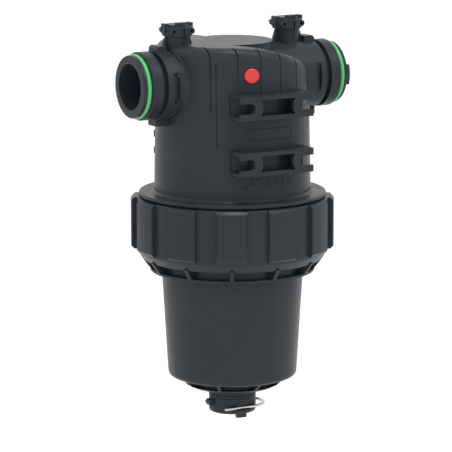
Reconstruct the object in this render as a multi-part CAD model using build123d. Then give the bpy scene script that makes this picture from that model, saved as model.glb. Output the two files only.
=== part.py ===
from build123d import *
import functools
import math
import os

# Inline strainer for 2 inch lines, in millimetres. The origin is where the axis through both ports crosses
# the vertical axis of the head and the bowl. +X is the outlet end, -Y is the front with the mesh indicator
# and +Z is up.

# How far a cutter runs past a face, and how far a rib's root runs into what carries it
OVERRUN = 1.0

# Head, whose wall, skirt and flange stand at steps from the bowl's flange
BOWL_FLANGE_RADIUS = 91.6
SKIRT_STEP = 1.0
SKIRT_RADIUS = BOWL_FLANGE_RADIUS + SKIRT_STEP
HEAD_STEP = 7.0
HEAD_RADIUS = SKIRT_RADIUS - HEAD_STEP
HEAD_DRAFT = 1.1
HEAD_WALL = 7.0
RIM_HEIGHT = 43.2
SHOULDER_ROUND = 11.0
TOP_FALL_START = -36.0
TOP_FALL_RADIUS = 200.0
TOP_DISC_RADIUS = 44.0
TOP_DISC_DROP = 0.3
FLANGE_STEP = 9.6
FLANGE_RADIUS = SKIRT_RADIUS + FLANGE_STEP
FLANGE_DROP = 122.3
FLANGE_THICKNESS = 3.5
FLANGE_FILLET = 3.0
SKIRT_LENGTH = 50.3
SKIRT_WALL = 14.0
SHOULDER_CUTS = (12.2, 36.2, 60.0)
CUT_WIDTH = 1.5
CUT_DEPTHS = (3.2, 3.2, 4.2)
CUT_FADES = (60.0, 42.0, 58.0)
CUT_START_SHARE = 0.45
CUT_BEND_SHARE = 1.1
CUT_RIM_SHARE = 0.6
CUT_RIM_DROP_SHARE = 0.7
FINE_LINE_OFFSET = 55.4
FINE_LINE_WIDTH = 0.9
FINE_LINE_DEPTH = 0.7
FINE_LINE_TOP = 26.0
FINE_LINE_BOTTOM = -62.0

# Ports
PORT_REACH = 126.5
PORT_BORE_RADIUS = 25.0
LIP_LENGTH = 4.1
LIP_RADIUS = 33.8
LIP_ROUND = 1.0
RING_SECTION = 4.6
RING_PROUD = 1.5
RING_SQUEEZE_GAP = 0.05
LAND_LENGTH = 13.2
LAND_RADIUS = 36.9
LAND_RAMP = 1.6
FORK_GROOVE_WIDTH = 5.9
FORK_GROOVE_DEPTH = 6.0
COLLAR_LENGTH = 22.1
COLLAR_RADIUS = 37.5
COLLAR_ROUND = 0.6
FLARE_RISE = 1.8
FLARE_HALF_LENGTH = 3.0
POCKET_OFFSET = 8.4
POCKET_WIDTH = 6.6
POCKET_HEIGHT = 32.0
POCKET_DEPTH = 4.6
LUG_WIDTH = 17.0
LUG_RISE = 6.3
LUG_ROOT = 4.0
TOP_LUG_RISE = 5.2
TOP_LUG_CHAMFER = 2.4
TOP_LUG_LENGTH = 12.6
BOTTOM_LUG_LENGTH = 24.0
TONGUE_LENGTH = 2.9
TONGUE_WIDTH = 22.0
TONGUE_THICKNESS = 5.0
TONGUE_ROOT = 2.0

# Outlet elbow inside the head
ELBOW_WALL = 5.0
SEAT_DROP = 62.0
SEAT_BORE_RADIUS = 24.0

# T-slot brackets
BRACKET_STAND = 12.9
BRACKET_REACH = HEAD_RADIUS + BRACKET_STAND
BRACKET_LENGTH = 90.4
BRACKET_HEIGHT = 25.5
BRACKET_PLATE = 5.0
BRACKET_RAIL = 3.0
BRACKET_WEB = 3.0
BRACKET_DROPS = (18.2, 78.5)
BRACKET_ROUND = 2.5
SLOT_HEIGHT = 11.4
SLOT_LENGTH = 17.2
WINDOW_HEIGHT = 17.0
WINDOW_LAND = 9.4

# Mesh indicator
INDICATOR_RADIUS = 8.0
INDICATOR_TURN = 15.5
INDICATOR_RISE = 14.5
INDICATOR_PROUD = 2.4
INDICATOR_DEPTH = 4.5
INDICATOR_GAP = 0.35
INDICATOR_CHAMFER = 0.7

# Gauge sockets on top of the ports
SOCKET_SET_IN = 17.0
SOCKET_OFFSET = HEAD_RADIUS - SOCKET_SET_IN
SOCKET_TOP = 62.8
SOCKET_RING_HEIGHT = 10.8
SOCKET_RING_RADIUS = 16.2
SOCKET_NECK_RADIUS = 13.3
SOCKET_BORE_RADIUS = 12.2
SOCKET_FLOOR = 40.5
SENSE_HOLE_RADIUS = 4.0
SOCKET_EDGE_ROUND = 0.8
SOCKET_SEAM_TURN = 225.0
EAR_RADIUS = 3.4
EAR_HALF_LENGTH = 13.6
EAR_SHIFT = 0.6
MERLON_RISE = 2.8
MERLON_LAP = 0.3
MERLON_PROUD = 1.2
MERLON_ROOT = 3.0
MERLON_WIDTH = 8.0
GUSSET_THICKNESS = 3.4
GUSSET_SPREAD = 6.4
GUSSET_TOP_SPREAD = 1.2
GUSSET_FOOT_HEIGHT = 35.5
GUSSET_ROOT = 5.0
FRONT_SLIT = 1.6
SLIT_DEPTH = 0.6
SLIT_DROP = 2.0

# Plugs and their forks
PLUG_CLEARANCE = 0.2
PLUG_GROOVE_SPARE = 0.3
PLUG_CAP_THICKNESS = 1.6
PLUG_LENGTH = 20.6
PLUG_CHAMFER = 0.8
TAB_WIDTH = 11.0
TAB_DEPTH = 5.6
TAB_INSET = 0.3
TAB_RISE = 4.0
PLUG_RING_SECTION = 2.6
PLUG_RING_HEIGHT = 6.4
PLUG_RING_EASE = 0.02
FORK_WIRE = 3.0
FORK_DROP = 5.1
FORK_TIP = 8.6
FORK_TAIL = 17.0

# Ring nut
NUT_GAP = 1.9
NUT_WALL = 13.2
NUT_RADIUS = SKIRT_RADIUS + NUT_WALL
NUT_RIBS = 12
NUT_RIB_RISE = 5.4
NUT_RIB_ANGLE = 17.5
NUT_RIB_HEIGHT = 57.0
NUT_RIB_CHAMFER = 3.0
NUT_RIB_EDGE = 1.2
NUT_RIB_ROOT = 6.0
NUT_TOP_ROUND = 1.5
NUT_SHOULDER_DROP = 1.5
NUT_SHOULDER_ROUND = 7.0
NUT_THREAD_CLEARANCE = 2.2
NUT_SEAT_GAP = 0.2
NUT_LIP_DROP = 11.6
NUT_LIP_RADIUS = 97.2
NUT_POCKET_HEIGHT = 10.6
NUT_FOOT_HEIGHT = 3.0
NUT_FOOT_RADIUS = 90.3
NUT_FOOT_ROUND = 0.8
NUT_SLEEVE_WALL = 3.2
NUT_BOWL_CLEARANCE = 0.8
NUT_GUSSET_THICKNESS = 4.2
NUT_GUSSET_TOP_RADIUS = 100.4
NUT_GUSSET_ROOT = 3.0
NUT_GUSSET_LAP = 1.5

# Bowl, whose flange radius stands with the head
BOWL_FLANGE_THICKNESS = 8.0
BOWL_MOUTH_RADIUS = 79.0
BOWL_TAPER = 3.4
BOWL_WALL = 4.6
BOWL_DEPTH = 144.0
BOWL_CORNER_ROUND = 6.2
BOWL_FLOOR = 5.0
BASE_POCKET_HEIGHT = 8.6
BASE_RING_HEIGHT = 3.2
BASE_RING_RADIUS = 52.0
BASE_RING_FOOT_RADIUS = 46.0
BASE_RING_ROUND = 0.8
BASE_CORE_RADIUS = 45.0
BASE_GUSSETS = 8
BASE_GUSSET_THICKNESS = 3.6
BASE_GUSSET_REACH = 61.5
SEAL_WIDTH = 4.0
SEAL_INSET = 3.1
SEAL_HEIGHT = 3.0
SEAL_SIDE_GAP = 0.1
SEAL_GAP = 0.2
SEAL_TOP_EASE = 0.05

# Drain socket
DRAIN_RADIUS = 26.0
DRAIN_LENGTH = 28.8
DRAIN_BORE_RADIUS = 23.0
DRAIN_BORE_DEPTH = 24.5
DRAIN_HOLE_RADIUS = 14.0
DRAIN_EDGE_ROUND = 3.0
DRAIN_RING_CUTS = (8.5, 11.6)
DRAIN_RING_CUT_WIDTH = 1.1
DRAIN_RING_CUT_DEPTH = 0.9
DRAIN_WINDOW_HALF = 16.0
DRAIN_WINDOW_TOP = 14.4
DRAIN_SEAL_RISE = 1.2
DRAIN_SEAL_EASE = 0.03
DRAIN_PLUG_GAP = 0.5
DRAIN_PLUG_CHAMFER = 1.0
DRAIN_EAR_WIDTH = 9.0
DRAIN_EAR_HEIGHT = 7.0
DRAIN_EAR_REACH = 31.0
DRAIN_EAR_LIFT = 1.0
DRAIN_EAR_ROUND = 2.0
DRAIN_FORK_WIRE = 3.6
DRAIN_FORK_OFFSET = 22.6
DRAIN_FORK_RISE = 7.0
DRAIN_FORK_TIP = 20.4
DRAIN_FORK_TAIL = 13.5
DRAIN_TAB_RISE = 4.6

# Filter cartridge
CARTRIDGE_RADIUS = 49.0
CARTRIDGE_WALL = 3.0
CARTRIDGE_COLUMNS = 6
CARTRIDGE_ROWS = 5
CARTRIDGE_COLUMN_WIDTH = 9.0
CARTRIDGE_HOOP_HEIGHT = 6.0
MESH_THICKNESS = 1.0
MESH_CLEARANCE = 0.1
CAP_RADIUS = 53.0
CAP_HEIGHT = 12.0
CAP_LIP = 4.0
CAP_CHAMFER = 1.2
CAP_COLLAR_HEIGHT = 5.0
CAP_COLLAR_WALL = 3.5
CAP_COLLAR_CLEARANCE = 0.6
GASKET_THICKNESS = 3.0
GASKET_WIDTH = 5.0
BOTTOM_GASKET_RADIUS = 36.0

# Heights that follow
flange_bottom = -FLANGE_DROP - FLANGE_THICKNESS
skirt_bottom = flange_bottom - SKIRT_LENGTH
bowl_top = skirt_bottom - SEAL_GAP
bowl_flange_bottom = bowl_top - BOWL_FLANGE_THICKNESS
nut_top = flange_bottom - NUT_GAP
nut_seat = bowl_flange_bottom - NUT_SEAT_GAP
nut_lip = nut_seat - NUT_LIP_DROP
nut_foot_top = nut_lip - NUT_POCKET_HEIGHT
nut_bottom = nut_foot_top - NUT_FOOT_HEIGHT
bowl_bottom = bowl_flange_bottom - BOWL_DEPTH
bowl_floor = bowl_bottom + BOWL_FLOOR
base_ring_top = bowl_bottom - BASE_POCKET_HEIGHT
base_bottom = base_ring_top - BASE_RING_HEIGHT
drain_bottom = base_bottom - DRAIN_LENGTH
drain_bore_top = drain_bottom + DRAIN_BORE_DEPTH
drain_fork_height = drain_bottom + DRAIN_FORK_RISE
fork_height = SOCKET_TOP - FORK_DROP
seat_height = -SEAT_DROP

# Radii that follow
draft_slope = math.tan(math.radians(HEAD_DRAFT))
bowl_slope = math.tan(math.radians(BOWL_TAPER))
chamber_radius = HEAD_RADIUS - HEAD_WALL
elbow_radius = PORT_BORE_RADIUS + ELBOW_WALL
fork_offset = SOCKET_BORE_RADIUS - PLUG_CLEARANCE - FORK_WIRE / 2
mesh_inner_radius = CARTRIDGE_RADIUS + MESH_CLEARANCE
seal_outer = BOWL_FLANGE_RADIUS - SEAL_INSET
seal_inner = seal_outer - SEAL_WIDTH


def head_radius_at(height):
    """Outer radius of the head's drafted wall."""
    return HEAD_RADIUS - (height + FLANGE_DROP) * draft_slope


def top_height_at(x):
    """Height of the head's top, level at the inlet side and falling in an arc towards the outlet."""
    run = x - TOP_FALL_START if x > TOP_FALL_START else 0.0
    return RIM_HEIGHT - TOP_FALL_RADIUS + math.sqrt(TOP_FALL_RADIUS**2 - run**2)


def bowl_radius_at(height):
    """Outer radius of the bowl's tapered wall."""
    return BOWL_MOUTH_RADIUS - (bowl_flange_bottom - height) * bowl_slope


def block(x_range, y_range, z_range):
    """Box between three pairs of limits."""
    sizes = [high - low for low, high in (x_range, y_range, z_range)]
    centre = [(low + high) / 2 for low, high in (x_range, y_range, z_range)]
    return Pos(*centre) * Box(*sizes)


def disc(radius, low, high, x=0.0, y=0.0):
    """Upright cylinder from one height to another."""
    body = Cylinder(radius, high - low, align=(Align.CENTER, Align.CENTER, Align.MIN))
    return Pos(x, y, low) * body


def bar_y(radius, low, high, x=0.0, z=0.0):
    """Cylinder along Y."""
    body = Cylinder(radius, high - low, align=(Align.CENTER, Align.CENTER, Align.MIN))
    return Pos(x, low, z) * Rot(-90, 0, 0) * body


def turned(outline, rounds=()):
    """Solid of revolution about Z from corners (radius, height), some of them rounded."""
    face = make_face(Polyline(*outline, close=True))
    for corner, radius in rounds:
        vertex = face.vertices().sort_by_distance((*outline[corner], 0))[0]
        face = fillet(vertex, radius)
    return revolve(Plane.XZ * face, Axis.Z)


def along_x(shape, side):
    """Turn a shape built upwards about Z so that it points to one end of the port axis."""
    return Rot(0, 90 * side, 0) * shape


def around(shape, count, start=0.0):
    """Copies of a shape at even angles about Z."""
    return [Rot(0, 0, start + 360 * index / count) * shape for index in range(count)]


def upright_plate(outline, thickness, turn=0.0):
    """Vertical rib: a flat outline of (radius, height) corners, thick across it, turned about Z."""
    face = make_face(Polyline(*outline, close=True))
    plate = extrude(Plane.XZ * face, thickness / 2, both=True)
    return Rot(0, 0, turn) * plate


def below_the_top(inset):
    """Everything under the head's top surface, or under its ceiling when inset by the wall."""
    reach = FLANGE_RADIUS
    level = RIM_HEIGHT - inset
    radius = TOP_FALL_RADIUS - inset
    turn = math.degrees(math.asin((reach - TOP_FALL_START) / radius))
    level_part = Polyline((-reach, 2 * skirt_bottom), (-reach, level), (TOP_FALL_START, level))
    arc = CenterArc((TOP_FALL_START, level - radius), radius, 90, -turn)
    rest = Polyline(arc @ 1, (reach, 2 * skirt_bottom), (-reach, 2 * skirt_bottom))
    face = make_face(level_part + arc + rest)
    return extrude(Plane.XZ * face, reach, both=True)


def rounded_rim(body, radius):
    """Round the edge between a drafted wall and the falling top."""
    lowest = top_height_at(HEAD_RADIUS) - HEAD_WALL * 2
    rim = [
        edge
        for edge in body.edges()
        if edge.geom_type != GeomType.LINE and edge.bounding_box().min.Z > lowest
    ]
    return fillet(rim, radius)


@functools.cache
def head_shell():
    """Falling top with its flat disc, shoulder, drafted wall, flange and skirt."""
    crest = RIM_HEIGHT + SHOULDER_ROUND
    outline = [
        (0, crest),
        (head_radius_at(crest), crest),
        (HEAD_RADIUS, -FLANGE_DROP),
        (FLANGE_RADIUS, -FLANGE_DROP),
        (FLANGE_RADIUS, flange_bottom),
        (SKIRT_RADIUS, flange_bottom),
        (SKIRT_RADIUS, skirt_bottom),
        (0, skirt_bottom),
    ]
    shell = turned(outline, [(2, FLANGE_FILLET), (3, FLANGE_FILLET / 2)])
    shell = rounded_rim(shell & below_the_top(0.0), SHOULDER_ROUND)
    return shell + disc(TOP_DISC_RADIUS, 0, RIM_HEIGHT - TOP_DISC_DROP)


@functools.cache
def head_chamber():
    """The hollow above the bowl, open at the skirt, with an even wall under the top and its disc."""
    crest = RIM_HEIGHT + SHOULDER_ROUND
    skirt_inner = SKIRT_RADIUS - SKIRT_WALL
    outline = [
        (0, crest),
        (head_radius_at(crest) - HEAD_WALL, crest),
        (skirt_inner, -FLANGE_DROP),
        (skirt_inner, skirt_bottom - OVERRUN),
        (0, skirt_bottom - OVERRUN),
    ]
    chamber = rounded_rim(turned(outline) & below_the_top(HEAD_WALL), SHOULDER_ROUND - HEAD_WALL / 2)
    return chamber + disc(TOP_DISC_RADIUS - HEAD_WALL, 0, RIM_HEIGHT - TOP_DISC_DROP - HEAD_WALL)


def port_spigot(side):
    """One spigot: collar, fork groove, land, ring groove and lip, flared at its root on the inlet side."""
    lip_start = PORT_REACH - LIP_LENGTH
    ring_start = lip_start - RING_SECTION - RING_SQUEEZE_GAP
    groove_end = ring_start - LAND_LENGTH
    groove_start = groove_end - FORK_GROOVE_WIDTH
    collar_start = groove_start - COLLAR_LENGTH
    ring_floor = LIP_RADIUS + RING_PROUD - RING_SECTION
    foot = [(0, 0), (COLLAR_RADIUS, 0)]
    if side < 0:
        flare = COLLAR_RADIUS + FLARE_RISE
        foot = [(0, 0), (flare, 0), (flare, collar_start - FLARE_HALF_LENGTH)]
        foot.append((COLLAR_RADIUS, collar_start + FLARE_HALF_LENGTH))
    outline = foot + [
        (COLLAR_RADIUS, groove_start),
        (COLLAR_RADIUS - FORK_GROOVE_DEPTH, groove_start),
        (COLLAR_RADIUS - FORK_GROOVE_DEPTH, groove_end),
        (LAND_RADIUS, groove_end),
        (LAND_RADIUS, ring_start - LAND_RAMP),
        (LIP_RADIUS, ring_start),
        (ring_floor, ring_start),
        (ring_floor, lip_start),
        (LIP_RADIUS, lip_start),
        (LIP_RADIUS, PORT_REACH),
        (0, PORT_REACH),
    ]
    rounds = [(len(foot), COLLAR_ROUND), (len(outline) - 2, LIP_ROUND)]
    spigot = along_x(turned(outline, rounds), side)
    collar_middle = (collar_start + groove_start) / 2
    pocket_x = (collar_start + POCKET_OFFSET, collar_start + POCKET_OFFSET + POCKET_WIDTH)
    for face in (-1, 1):
        pocket_y = (COLLAR_RADIUS - POCKET_DEPTH, COLLAR_RADIUS + POCKET_DEPTH)
        spigot -= block(
            sorted(side * value for value in pocket_x),
            sorted(face * value for value in pocket_y),
            (-POCKET_HEIGHT / 2, POCKET_HEIGHT / 2),
        )
    crest = COLLAR_RADIUS + TOP_LUG_RISE
    root = COLLAR_RADIUS - LUG_ROOT
    profile = [
        (side * (groove_start - TOP_LUG_LENGTH), root),
        (side * (groove_start - TOP_LUG_LENGTH), crest),
        (side * (groove_start - TOP_LUG_CHAMFER), crest),
        (side * groove_start, crest - TOP_LUG_CHAMFER),
        (side * groove_start, root),
    ]
    spigot += upright_plate(profile, LUG_WIDTH)
    bottom = (collar_middle - BOTTOM_LUG_LENGTH / 2, collar_middle + BOTTOM_LUG_LENGTH / 2)
    bottom_z = (-COLLAR_RADIUS - LUG_RISE, -root)
    return spigot + block(sorted(side * value for value in bottom), (-LUG_WIDTH / 2, LUG_WIDTH / 2), bottom_z)


def outlet_tongue():
    """Small key that stands out of the outlet's end face."""
    tongue = block(
        (PORT_REACH - TONGUE_ROOT, PORT_REACH + TONGUE_LENGTH),
        (-LIP_RADIUS - OVERRUN, -LIP_RADIUS + TONGUE_THICKNESS),
        (-TONGUE_WIDTH / 2, TONGUE_WIDTH / 2),
    )
    return tongue & along_x(disc(LIP_RADIUS, 0, PORT_REACH + TONGUE_LENGTH), 1)


def bracket(drop):
    """Front bracket: a plate with two end slots and a window, on two rails and two webs."""
    half_length = BRACKET_LENGTH / 2
    half_height = BRACKET_HEIGHT / 2
    x_range = (-half_length, half_length)
    body = block(x_range, (-BRACKET_REACH, 0), (-half_height, half_height))
    front_edges = body.edges().filter_by(Axis.Z).group_by(Axis.Y)[0]
    body = fillet(front_edges, BRACKET_ROUND)
    inner_half = half_height - BRACKET_RAIL
    channel_y = (-BRACKET_REACH + BRACKET_PLATE, 0)
    body -= block((-half_length - OVERRUN, half_length + OVERRUN), channel_y, (-inner_half, inner_half))
    plate_y = (-BRACKET_REACH - OVERRUN, -BRACKET_REACH + BRACKET_PLATE + OVERRUN)
    slot_radius = SLOT_HEIGHT / 2
    slot_centre = half_length - SLOT_LENGTH + slot_radius
    land_radius = slot_radius + WINDOW_LAND
    window = block((-slot_centre, slot_centre), plate_y, (-WINDOW_HEIGHT / 2, WINDOW_HEIGHT / 2))
    for end in (-1, 1):
        slot_x = sorted((end * slot_centre, end * (half_length + OVERRUN)))
        body -= block(slot_x, plate_y, (-slot_radius, slot_radius))
        body -= bar_y(slot_radius, *plate_y, x=end * slot_centre)
        window -= bar_y(land_radius, *plate_y, x=end * slot_centre)
        web_x = end * (slot_centre - slot_radius - WINDOW_LAND / 2)
        web_y = (-BRACKET_REACH + BRACKET_PLATE / 2, -chamber_radius)
        body += block((web_x - BRACKET_WEB / 2, web_x + BRACKET_WEB / 2), web_y, (-inner_half, inner_half))
    return Pos(0, 0, -drop) * (body - window)


def shoulder_cut(x, depth, fade):
    """Thin cut over the shoulder, deepest at the top and running out down the wall."""
    top = top_height_at(x)
    wall = math.sqrt(head_radius_at(0) ** 2 - x**2)
    start = top - SHOULDER_ROUND
    run_out = wall - SHOULDER_ROUND * head_radius_at(0) / wall
    outside = wall + CUT_WIDTH
    outline = [
        (-outside, start - fade),
        (-wall, start - fade),
        (-wall + depth * CUT_START_SHARE, start),
        (-wall + depth * CUT_BEND_SHARE, start + SHOULDER_ROUND * CUT_START_SHARE),
        (-run_out - depth * CUT_RIM_SHARE, top - depth * CUT_RIM_DROP_SHARE),
        (-run_out + depth, top),
        (-run_out + depth, top + SHOULDER_ROUND),
        (-outside, top + SHOULDER_ROUND),
    ]
    face = make_face(Polyline(*outline, close=True))
    return Pos(x, 0, 0) * extrude(Plane.YZ * face, CUT_WIDTH / 2, both=True)


def fine_line(x):
    """Shallow upright line on the wall beside the outermost cut."""
    outline = []
    for height in (FINE_LINE_BOTTOM, FINE_LINE_TOP):
        outline.append((-math.sqrt(head_radius_at(height) ** 2 - x**2), height))
    (low_y, low), (high_y, high) = outline
    corners = [
        (low_y - FINE_LINE_WIDTH, low),
        (low_y + FINE_LINE_DEPTH, low),
        (high_y + FINE_LINE_DEPTH, high),
        (high_y - FINE_LINE_WIDTH, high),
    ]
    face = make_face(Polyline(*corners, close=True))
    return Pos(x, 0, 0) * extrude(Plane.YZ * face, FINE_LINE_WIDTH / 2, both=True)


def gauge_socket(side):
    """Small castellated socket on a port, with ears for the legs of its fork."""
    x = side * SOCKET_OFFSET
    ring_bottom = SOCKET_TOP - SOCKET_RING_HEIGHT
    outline = [
        (0, ring_bottom),
        (SOCKET_RING_RADIUS, ring_bottom),
        (SOCKET_RING_RADIUS, SOCKET_TOP),
        (0, SOCKET_TOP),
    ]
    ring = turned(outline, [(1, SOCKET_EDGE_ROUND), (2, SOCKET_EDGE_ROUND)])
    ring = Pos(x, 0, 0) * Rot(0, 0, SOCKET_SEAM_TURN) * ring
    socket = ring + disc(SOCKET_NECK_RADIUS, 0, ring_bottom + SOCKET_EDGE_ROUND, x)
    root = GUSSET_FOOT_HEIGHT - GUSSET_ROOT
    foot = SOCKET_NECK_RADIUS + GUSSET_SPREAD
    top = SOCKET_NECK_RADIUS + GUSSET_TOP_SPREAD
    gusset = [(0, ring_bottom), (top, ring_bottom), (foot, GUSSET_FOOT_HEIGHT), (foot, root), (0, root)]
    for end in (-1, 1):
        ear_x = x + end * (fork_offset + EAR_SHIFT)
        socket += bar_y(EAR_RADIUS, -EAR_HALF_LENGTH, EAR_HALF_LENGTH, ear_x, fork_height)
        merlon_inner = x + end * (SOCKET_BORE_RADIUS + MERLON_LAP)
        merlon_outer = x + end * (SOCKET_RING_RADIUS + MERLON_PROUD)
        merlon_z = (ring_bottom + MERLON_ROOT, SOCKET_TOP + MERLON_RISE)
        merlon_y = (-MERLON_WIDTH / 2, MERLON_WIDTH / 2)
        socket += block(sorted((merlon_inner, merlon_outer)), merlon_y, merlon_z)
        socket += Pos(x, 0, 0) * upright_plate(gusset, GUSSET_THICKNESS, 0 if end > 0 else 180)
    return socket


def gauge_socket_cuts(side):
    """Bore, sense hole, fork passages and the front slit of a gauge socket."""
    x = side * SOCKET_OFFSET
    top = SOCKET_TOP + MERLON_RISE + OVERRUN
    cuts = disc(SOCKET_BORE_RADIUS, SOCKET_FLOOR, top, x)
    cuts += disc(SENSE_HOLE_RADIUS, 0, SOCKET_FLOOR + OVERRUN, x)
    reach = EAR_HALF_LENGTH + OVERRUN
    for end in (-1, 1):
        passage = FORK_WIRE / 2 + PLUG_CLEARANCE
        cuts += bar_y(passage, -reach, reach, x + end * fork_offset, fork_height)
    slit_y = (-SOCKET_RING_RADIUS - OVERRUN, -SOCKET_NECK_RADIUS + SLIT_DEPTH)
    slit_z = (COLLAR_RADIUS, SOCKET_TOP - SLIT_DROP)
    return cuts + block((x - FRONT_SLIT / 2, x + FRONT_SLIT / 2), slit_y, slit_z)


def outlet_elbow():
    """Seat neck that carries the cartridge, turned into the outlet bore."""
    seat_radius = SEAT_BORE_RADIUS + ELBOW_WALL
    elbow = disc(seat_radius, seat_height, 0) + Sphere(elbow_radius)
    return elbow + along_x(disc(elbow_radius, 0, chamber_radius), 1)


def outlet_passage():
    """Water way from the seat to the outlet's mouth."""
    passage = disc(SEAT_BORE_RADIUS, seat_height - OVERRUN, 0) + Sphere(PORT_BORE_RADIUS)
    return passage + along_x(disc(PORT_BORE_RADIUS, 0, PORT_REACH + TONGUE_LENGTH + OVERRUN), 1)


def indicator_seat(radius, low, high):
    """Cylinder along the indicator's own axis, between two distances from the vertical axis."""
    body = Cylinder(radius, high - low, align=(Align.CENTER, Align.CENTER, Align.MIN))
    return Rot(0, 0, -90 - INDICATOR_TURN) * Pos(low, 0, INDICATOR_RISE) * Rot(0, 90, 0) * body


def port_bore(side):
    """Water way through a port and the head's wall."""
    reach = PORT_REACH + TONGUE_LENGTH + OVERRUN
    return along_x(disc(PORT_BORE_RADIUS, chamber_radius - HEAD_WALL * 3, reach), side)


def head_moulding():
    """The head's wall from the top to the skirt, hollow, with its openings and cuts."""
    head = head_shell() - head_chamber() - outlet_passage() - port_bore(-1)
    wall = head_radius_at(INDICATOR_RISE)
    head -= indicator_seat(INDICATOR_RADIUS + INDICATOR_GAP, wall - INDICATOR_DEPTH, wall + INDICATOR_DEPTH)
    for side in (-1, 1):
        head -= gauge_socket_cuts(side)
    for x, depth, fade in zip(SHOULDER_CUTS, CUT_DEPTHS, CUT_FADES):
        for place in (-x, x):
            cut = shoulder_cut(place, depth, fade)
            head -= [cut, mirror(cut, Plane.XZ)]
    line = fine_line(-FINE_LINE_OFFSET)
    head -= [line, mirror(line, Plane.XZ)]
    return head


def build_head():
    """The head above the underside of its flange."""
    reach = FLANGE_RADIUS * 2
    return head_moulding() & block((-reach, reach), (-reach, reach), (flange_bottom, reach))


def build_skirt():
    """The head's skirt below the flange, inside the ring nut."""
    return disc(SKIRT_RADIUS, skirt_bottom, flange_bottom) - head_chamber()


def build_elbow():
    """Seat neck and elbow in the chamber, ending at the wall."""
    return (outlet_elbow() & head_chamber()) - outlet_passage()


def build_port(side):
    """Spigot and gauge socket of one end, seated on the head's outside."""
    port = port_spigot(side) + gauge_socket(side)
    if side > 0:
        port += outlet_tongue()
    return port - head_shell() - port_bore(side) - gauge_socket_cuts(side)


def build_bracket(drop, turn):
    """Bracket seated on the head's wall."""
    return Rot(0, 0, turn) * bracket(drop) - head_shell()


def build_port_ring(side):
    """O-ring in a spigot's groove."""
    major = LIP_RADIUS + RING_PROUD - RING_SECTION / 2
    centre = PORT_REACH - LIP_LENGTH - RING_SECTION / 2 - RING_SQUEEZE_GAP / 2
    return along_x(Pos(0, 0, centre) * Torus(major, RING_SECTION / 2 - RING_SQUEEZE_GAP / 4), side)


def build_indicator():
    """Round button that shows the mesh size, with a bevelled rim."""
    wall = head_radius_at(INDICATOR_RISE)
    button = indicator_seat(INDICATOR_RADIUS, wall - INDICATOR_DEPTH, wall + INDICATOR_PROUD)
    rim = button.faces().filter_by(GeomType.PLANE).sort_by(Axis.Y)[0].edges()
    return chamfer(rim, INDICATOR_CHAMFER)


def key_tab(plug_radius, low, high, x=0.0):
    """Rectangular tab by which a plug is turned and pulled, at the front of its round."""
    front = TAB_INSET - math.sqrt(plug_radius**2 - (TAB_WIDTH / 2) ** 2)
    return block((x - TAB_WIDTH / 2, x + TAB_WIDTH / 2), (front, front + TAB_DEPTH), (low, high))


def build_gauge_plug(side):
    """Plug of a gauge socket: cap, fork groove, seal groove and key tab."""
    x = side * SOCKET_OFFSET
    radius = SOCKET_BORE_RADIUS - PLUG_CLEARANCE
    groove_floor = fork_offset - FORK_WIRE / 2 - PLUG_GROOVE_SPARE
    groove_half = FORK_WIRE / 2 + PLUG_GROOVE_SPARE
    ring_floor = SOCKET_BORE_RADIUS - PLUG_RING_SECTION
    bottom = SOCKET_TOP - PLUG_LENGTH
    ring_low = bottom + PLUG_RING_HEIGHT - PLUG_RING_SECTION / 2
    ring_high = ring_low + PLUG_RING_SECTION
    top = SOCKET_TOP + PLUG_CAP_THICKNESS
    outline = [
        (0, bottom),
        (radius - PLUG_CHAMFER, bottom),
        (radius, bottom + PLUG_CHAMFER),
        (radius, ring_low),
        (ring_floor, ring_low),
        (ring_floor, ring_high),
        (radius, ring_high),
        (radius, fork_height - groove_half),
        (groove_floor, fork_height - groove_half),
        (groove_floor, fork_height + groove_half),
        (radius, fork_height + groove_half),
        (radius, top),
        (0, top),
    ]
    plug = Pos(x, 0, 0) * turned(outline)
    return plug + key_tab(radius, SOCKET_TOP - OVERRUN, SOCKET_TOP + TAB_RISE, x)


def build_gauge_seal(side):
    """O-ring of a gauge plug."""
    x = side * SOCKET_OFFSET
    minor = PLUG_RING_SECTION / 2 - PLUG_RING_EASE
    major = SOCKET_BORE_RADIUS - minor - PLUG_RING_EASE
    height = SOCKET_TOP - PLUG_LENGTH + PLUG_RING_HEIGHT
    return Pos(x, 0, height) * Torus(major, minor)


def wire_fork(wire, offset, tip, tail):
    """U of round wire in the XY plane: legs along Y, tips at -Y, bend at +Y."""
    bend = CenterArc((0, tail, 0), offset, 0, 180)
    path = Line((offset, -tip), (offset, tail)) + bend + Line((-offset, tail), (-offset, -tip))
    section = Plane(origin=(offset, -tip, 0), z_dir=(0, 1, 0)) * Circle(wire / 2)
    fork = sweep(section, path=path)
    for end in (-1, 1):
        fork += Pos(end * offset, -tip, 0) * Sphere(wire / 2)
    return fork


def build_gauge_fork(side):
    """Fork that holds a gauge plug, with its bend behind the socket."""
    fork = wire_fork(FORK_WIRE, fork_offset, FORK_TIP, FORK_TAIL)
    return Pos(side * SOCKET_OFFSET, 0, fork_height) * fork


def build_drain_fork():
    """Fork that holds the drain plug, with its bend at the outlet side."""
    fork = wire_fork(DRAIN_FORK_WIRE, DRAIN_FORK_OFFSET, DRAIN_FORK_TIP, DRAIN_FORK_TAIL)
    return Pos(0, 0, drain_fork_height) * Rot(0, 0, -90) * fork


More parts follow.
